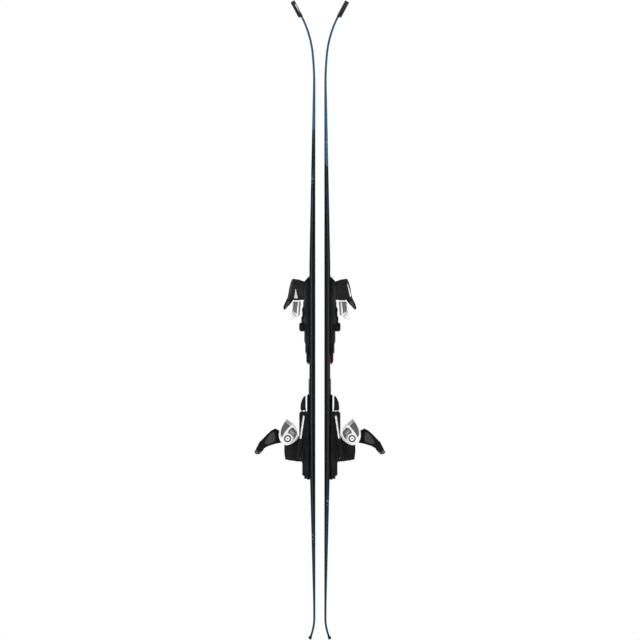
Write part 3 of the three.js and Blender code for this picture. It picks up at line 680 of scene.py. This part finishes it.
def make_toe_fillers(ski):
    """Dark pieces that close the slits between the toe piece's parts."""
    shim = across(upright(14.5, 15.2, 680, 889), 28)
    add_piece(ski, "ski", shim, "toe_shim", "deep_black", "black_plastic")
    behind_slide = [(27.1, 771.4), (27.9, 771.4), (27.9, 777.6), (34.4, 777.6), (34.4, 778.6), (27.1, 778.6)]
    seals = joined(
        across(upright(26.9, 27.6, 836, 879), 20),
        across(upright(20.2, 24.8, 760.2, 774.8), 20),
        across(upright(25, 27.8, 763.8, 771.2), 20),
        across(upright(27.1, 27.9, 758, 763.6), 20),
        across(behind_slide, 20),
    )
    add_piece(ski, "ski", seals, "toe_seals", "deep_black", "black_plastic")


def make_toe_side(ski, side, word):
    """The raised fields of the toe base and housing on one side."""
    def piece(outline, part, finish, flank, *sizes):
        bm = on_flank(outline, side, flank, *sizes)
        add_piece(ski, "ski", bm, f"{part}_{word}", finish, "black_plastic")

    # The field leaves room at its lower end for the wing's arm, which swings out there.
    field = [(30, 838), (30.5, 874), (41, 879.5), (52, 881), (56.5, 872), (60, 856), (61.8, 845),
             (60, 838.5), (52.3, 838), (52.3, 848.1), (35.7, 848.1), (35.7, 838)]
    piece(field, "toe_field", "soft_black", HOUSING_FLANK, 0.35, -0.12, 0.05)
    spine = [(55.5, 883), (59.6, 874), (62.6, 860), (65.2, 846), (67.4, 836), (64.2, 836), (62.2, 845),
             (59.6, 859), (56.2, 873)]
    piece(spine, "toe_spine", "ridge", HOUSING_FLANK, 0.45)
    fin = [(67.5, 832), (71.2, 826), (75.2, 815.6), (73.6, 813.4), (67.6, 820), (61.5, 828), (63.5, 832)]
    piece(fin, "toe_fin", "ridge", FIN_FLANK, 0.4)
    # A lighter raised band down the toe base's side is a painted reflection of its rounded surface.
    rib = [(23, 872), (28.4, 866), (28.6, 822), (26.5, 812), (23, 815)]
    piece(rib, "toe_reflection_band", "painted_reflection", TOE_FLANK, 0.4)
    # The painted highlight line along the track's upper edge is in two parts, clear of the slot that the
    # sliding plate moves in.
    upper = [(25.2, 799), (26.6, 791), (26.6, 779.5), (25.1, 779.5), (25.1, 790)]
    lower = [(25.1, 756), (26.6, 756), (26.6, 738), (24.4, 729), (24.2, 708), (21.8, 704), (21.6, 688),
             (20.4, 688), (20.6, 706), (22.8, 710), (22.9, 731), (25.1, 740)]
    piece(upper, "toe_upper_highlight", "ridge", TOE_FLANK, 0.35)
    piece(lower, "toe_lower_highlight", "ridge", TOE_FLANK, 0.35)


def make_wing(ski, side, word):
    """One toe wing with the panels on its outer face. They all ride on the wing."""
    body = f"toe_wing_{word}"
    softened(ski, body, body, "wing", "white_plastic", 0.8)

    def panel(outline, part, finish, slot, flank=WING_FLANK, proud=0.35, depth=0.6):
        add_piece(ski, body, on_flank(outline, side, flank, proud, depth), f"{part}_{word}", finish, slot)

    cover = [(36.6, 834.4), (36.6, 847.8), (51.4, 847.8), (51.4, 834.4)]
    panel(cover, "wing_cover", "soft_black", "grey_plastic", COVER_FLANK, 0)
    outer = [(53.9, 829.8), (42.9, 829.8), (46.1, 800), (55.8, 807.6)]
    panel(outer, "wing_panel", "wing_panel", "grey_plastic")
    strip = [(39.4, 829.8), (35.9, 829.8), (38.2, 798.2), (42, 794.3)]
    panel(strip, "wing_strip", "wing_panel", "grey_plastic")
    groove = [(58.2, 805.6), (56.6, 807.4), (46.2, 794.6), (47.3, 791.6)]
    panel(groove, "wing_groove", "mid_grey", "grey_plastic")
    corner = [(61.6, 785.8), (49.4, 788.8), (58.6, 802.6), (59.9, 796)]
    panel(corner, "wing_corner", "silver", "white_plastic")
    corner_field = [(60.2, 787.3), (52.2, 789.4), (58.2, 798.8)]
    panel(corner_field, "wing_corner_field", "white", "white_plastic", proud=0.6)


def make_toe(ski):
    softened(ski, "toe_base", "ski", "track", "black_plastic", 0.8)
    softened(ski, "toe_housing", "ski", "black", "black_plastic", 1.1, 3)
    softened(ski, "afd_plate", "afd", "deep_black", "grey_plastic", 1.3, 4, grow=0.2)
    make_toe_fillers(ski)
    for side, word in zip(SIDES, ("right", "left")):
        make_toe_side(ski, side, word)
        make_wing(ski, side, word)
    # The pale triangle is split where the wing's arm parts from the housing.
    upper = on_flank([(48.5, 862.5), (45.3, 848.2), (50.6, 848.2)], 1, HOUSING_FLANK, 0.6, -0.3)
    add_piece(ski, "ski", upper, "toe_pale_triangle_right", "silver", "white_plastic")
    lower_outline = [(45.3, 847.8), (43, 838.2), (52, 838.2), (50.6, 847.8)]
    lower = on_flank(lower_outline, 1, COVER_FLANK, 0.15, 0.2, 0.05)
    add_piece(ski, "toe_wing_right", lower, "toe_pale_triangle_lower_right", "silver", "white_plastic")
    # A white stripe lies along the fin's edge on the other side.
    stripe_outline = [(56.2, 874.2), (58, 872.6), (66.2, 845.2), (65.6, 842.6), (63, 843)]
    stripe = on_flank(stripe_outline, -1, HOUSING_FLANK, 0.8)
    add_piece(ski, "ski", stripe, "toe_white_stripe_left", "white", "white_plastic")


# ---- heel piece ---------------------------------------------------------------------------------
PIVOT = (68.1, 493.7)
LEAF = [(71.3, 545.6), (74.5, 538.5), (78.6, 530), (82, 523.5), (86, 516), (89.2, 507.5), (89.5, 499.5),
        (87.6, 491.5), (83.4, 484.2), (77, 479.2), (69.5, 477.6), (62, 479.8), (55, 485), (48.6, 491.6),
        (44.3, 498.5), (42.4, 505), (42.6, 511.5), (44.5, 518), (48.4, 525.4), (54.5, 531.6), (62, 537.6)]
LEAF_FIELD = [(70.8, 542.6), (62.8, 537), (55.5, 531.4), (49.6, 525.2), (46.1, 519), (44.8, 513.4),
              (54, 523.6), (58.6, 528.9), (66.5, 536.4)]
LEAF_STRIP = [(70.2, 540.8), (56.6, 528.6), (60.6, 526.2), (73.3, 536.8)]
FRONT_PANEL = [(73.2, 535.8), (61.7, 525.4), (65.2, 521.2), (71.4, 514.2), (75.8, 508), (79.6, 501.5),
               (81.8, 497.2), (84.2, 499.5), (85.3, 505.9), (84.2, 515.6), (80.5, 525.2), (76.6, 532)]


def around_pivot(radius, start, end, steps=8):
    """Points of an arc about the heel pin. 0 degrees points down to the ski and 90 along to the tip."""
    angles = [math.radians(start + (end - start) * i / steps) for i in range(steps + 1)]
    return [(PIVOT[0] - radius * math.cos(a), PIVOT[1] + radius * math.sin(a)) for a in angles]


BACK_PANEL = [(58.2, 520.6), (53.6, 520.8), (44.9, 510.4), (45.1, 505), (47.8, 498.3), (53, 491.2),
              (58.4, 485.2), *around_pivot(13.2, -55, 88), (66.2, 512.6), (62, 517.6)]


def make_jaw(ski):
    softened(ski, "heel_jaw", "heel_jaw", "silver", "white_plastic", 0.6)
    for side, word in zip(SIDES, ("right", "left")):
        def piece(bm, part, finish, slot):
            add_piece(ski, "heel_jaw", bm, f"jaw_{part}_{word}", finish, slot)

        def field(outline, part, finish, slot, top=36.8):
            piece(slab(outline, 36.2 * side, top * side, 0.12), part, finish, slot)

        piece(slab(smooth_outline(LEAF), 30.9 * side, 36.5 * side, 0.7, 3), "leaf", "white", "white_plastic")
        field(smooth_outline(LEAF_FIELD, 2), "leaf_field", "leaf_field", "white_plastic")
        field(LEAF_STRIP, "leaf_strip", "mid_grey", "grey_plastic", 36.95)
        field(FRONT_PANEL, "front_panel", "panel", "grey_plastic")
        field(BACK_PANEL, "back_panel", "panel", "grey_plastic")
        inner_line = around_pivot(14.9, -48, 25) + around_pivot(14.1, 25, -48)
        field(inner_line, "inner_line", "white", "white_plastic", 36.95)
        for i in range(3):
            x, z = 58.6 - 2.9 * i, 514.6 - 3.0 * i
            bar = [(x, z), (x + 4.2, z - 4.6), (x + 3.0, z - 5.8), (x - 1.2, z - 1.2)]
            field(bar, f"mark_{i + 1}", "silver", "white_plastic", 36.95)
        piece(ring(*PIVOT, 36.2 * side, 37.5 * side, 12.3, 9.1), "rosette_rim", "white", "white_plastic")
        piece(ring(*PIVOT, 36.2 * side, 37.0 * side, 9.1, 5.6), "rosette_well", "grey", "grey_plastic")
        piece(ring(*PIVOT, 36.2 * side, 37.8 * side, 5.6, 1.6), "rosette_hub", "white", "white_plastic")
        piece(disc(*PIVOT, 36.2 * side, 37.6 * side, 1.7), "rosette_pin", "deep_black", "grey_plastic")


HANDLE_FLANK = ((440, 13), (455, 19), (475, 24), (500, 27), (522, 25))


def make_lever(ski):
    softened(ski, "heel_lever", "heel_lever", "deep_black", "grey_plastic", 1.2, 3)
    panel = smooth_outline([(123.5, 485.4), (117.6, 496.2), (109, 506.6), (102.6, 510), (99.8, 506),
                            (98.6, 495), (100.4, 487.8), (107.4, 483.6), (115.4, 480.6), (121.4, 480.8)], 2)
    rim = [(132.2, 461.4), (137.8, 457), (145, 457.6), (147.9, 460.6), (145.4, 465.4), (142, 464.6),
           (143.9, 461), (143.2, 459.7), (138.6, 459.4), (134.6, 463)]
    for side, word in zip(SIDES, ("right", "left")):
        for outline, part, finish in ((panel, "panel", "grip"), (rim, "rim", "lever_rim")):
            add_piece(ski, "heel_lever", on_flank(outline, side, HANDLE_FLANK, 0.3), f"lever_{part}_{word}",
                      finish, "grey_plastic")


def make_heel(ski):
    softened(ski, "heel_rail", "ski", "track", "black_plastic", 0.5)
    shim = across([(12.8, 395), (13.6, 395), (15.3, 602), (14.5, 602)], 14)
    add_piece(ski, "ski", shim, "heel_shim", "deep_black", "black_plastic")
    softened(ski, "heel_carriage", "heel", "track", "black_plastic", 0.9)
    softened(ski, "heel_housing", "heel", "black", "black_plastic", 1.0)
    for side, word in zip(SIDES, ("right", "left")):
        softened(ski, f"brake_shoe_{word}", "brake", "black", "black_plastic", 0.9)
        inner = 30.4 * side
        line = slab([(31.6, 434), (33.2, 436), (33.2, 462), (31.6, 464)], inner, 31.35 * side, 0.15)
        add_piece(ski, "heel", line, f"carriage_line_{word}", "ridge", "grey_plastic")
        for i, (x, start, end) in enumerate(((19.5, 404, 552), (24.2, 404, 528), (28.2, 404, 520))):
            outline = [(x, start), (x + 1.5, start + 2), (x + 1.5, end - 2), (x, end)]
            rib = slab(outline, inner, 31.3 * side, 0.2)
            add_piece(ski, "heel", rib, f"carriage_rib_{i + 1}_{word}", "black", "black_plastic")
        dot = disc(38.4, 445.5, 29 * side, 30.3 * side, 1.7)
        add_piece(ski, "heel", dot, f"housing_dot_{word}", "mid_grey", "grey_plastic")
    softened(ski, "brake_pedal", "brake", "black", "black_plastic", 1.0)
    angles = [math.radians(-41 + 82 * i / 10) for i in range(11)]
    nose = [(28.5 + 14.5 * math.sin(a), 548 + 14.5 * math.cos(a)) for a in angles]
    seals = joined(across([(19, 557.5), *nose, (38, 557.5)], 16), across(upright(34.1, 35.5, 438.5, 479), 24))
    add_piece(ski, "heel", seals, "heel_seals", "deep_black", "black_plastic")


def finish_cad_nodes(ski):
    """Small parts whose CAD shape is already right keep it and get their own finish."""
    for node, finish in {
        "toe_pin_right": "screw_steel", "toe_pin_left": "screw_steel", "toe_plunger": "grey",
        "toe_spring": "wire_steel", "toe_release_screw": "screw_steel", "heel_pin": "screw_steel",
        "heel_plunger": "grey", "heel_spring": "wire_steel", "heel_release_screw": "screw_steel",
        "brake_wire": "wire_steel",
    }.items():
        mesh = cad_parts[f"ski{ski}_{node}"].data
        mesh.materials.clear()
        mesh.materials.append(finishes[ski][finish])


make_camera()
make_stage()
for ski in SKIS:
    make_ski(ski)
    make_toe(ski)
    make_jaw(ski)
    make_lever(ski)
    make_heel(ski)
    finish_cad_nodes(ski)
